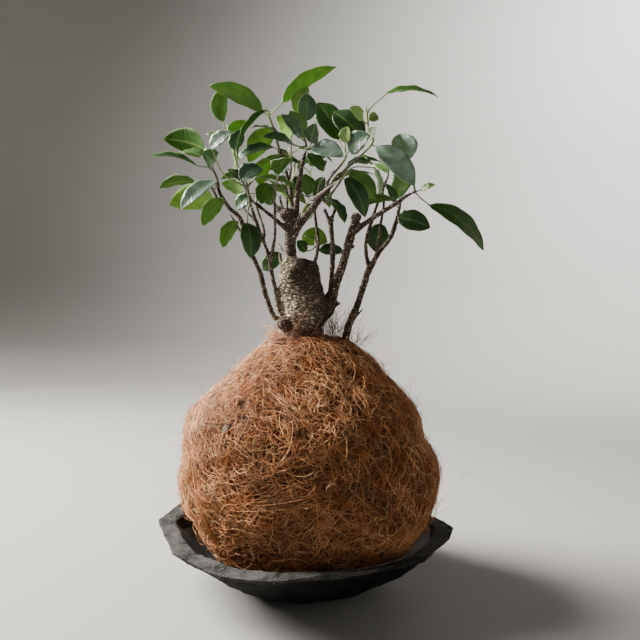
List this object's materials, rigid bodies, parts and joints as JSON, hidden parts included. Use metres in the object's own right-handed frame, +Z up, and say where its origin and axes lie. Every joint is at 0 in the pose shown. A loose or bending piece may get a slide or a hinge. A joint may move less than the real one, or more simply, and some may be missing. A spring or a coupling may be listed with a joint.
{
  "type": "potted ginseng fig in a coir kokedama ball",
  "caption": "Glossy-leaved ginseng fig whose root ball is wrapped in coir fibre, standing in a low carved dish as a table-top houseplant.",
  "frame": {"origin": "middle of the dish's flat foot, on the surface it stands on", "axes": "+Z up the trunk, -Y towards the side seen in the picture, +X to its right"},
  "size_m": [0.2542, 0.2178, 0.4016],
  "materials": {
    "dish": "chiselled, near-black, matt, greyer on the worn rim",
    "coir": "felted coconut fibre, orange brown, matt",
    "soil": "dark crumbly potting mix",
    "bark": "grey-brown bark with pale flecks",
    "leaf": "glossy leathery leaf, paler underneath"
  },
  "bodies": {
    "root": {"dish": "dish", "coir_wrap": "coir", "soil_ball": "soil", "fig_trunk": "bark", "side_stem": "bark", "shoot_left_top": "leaf", "shoot_left_low": "leaf", "shoot_left_mid": "leaf", "shoot_left_inner": "leaf", "shoot_left_spur": "leaf", "shoot_left_back": "leaf", "shoot_left_crest": "leaf", "shoot_crest_left": "leaf", "shoot_crest": "leaf", "shoot_crown": "leaf", "shoot_crown_right": "leaf", "shoot_right_top": "leaf", "shoot_right_fan": "leaf", "shoot_right_end": "leaf", "shoot_right_low": "leaf", "shoot_right_back": "leaf", "shoot_right_inner": "leaf", "shoot_middle_back": "leaf", "shoot_middle_low": "leaf", "shoot_side_low": "leaf", "shoot_trunk_sprig": "leaf", "shoot_centre_back": "leaf"}
  },
  "joints": []
}
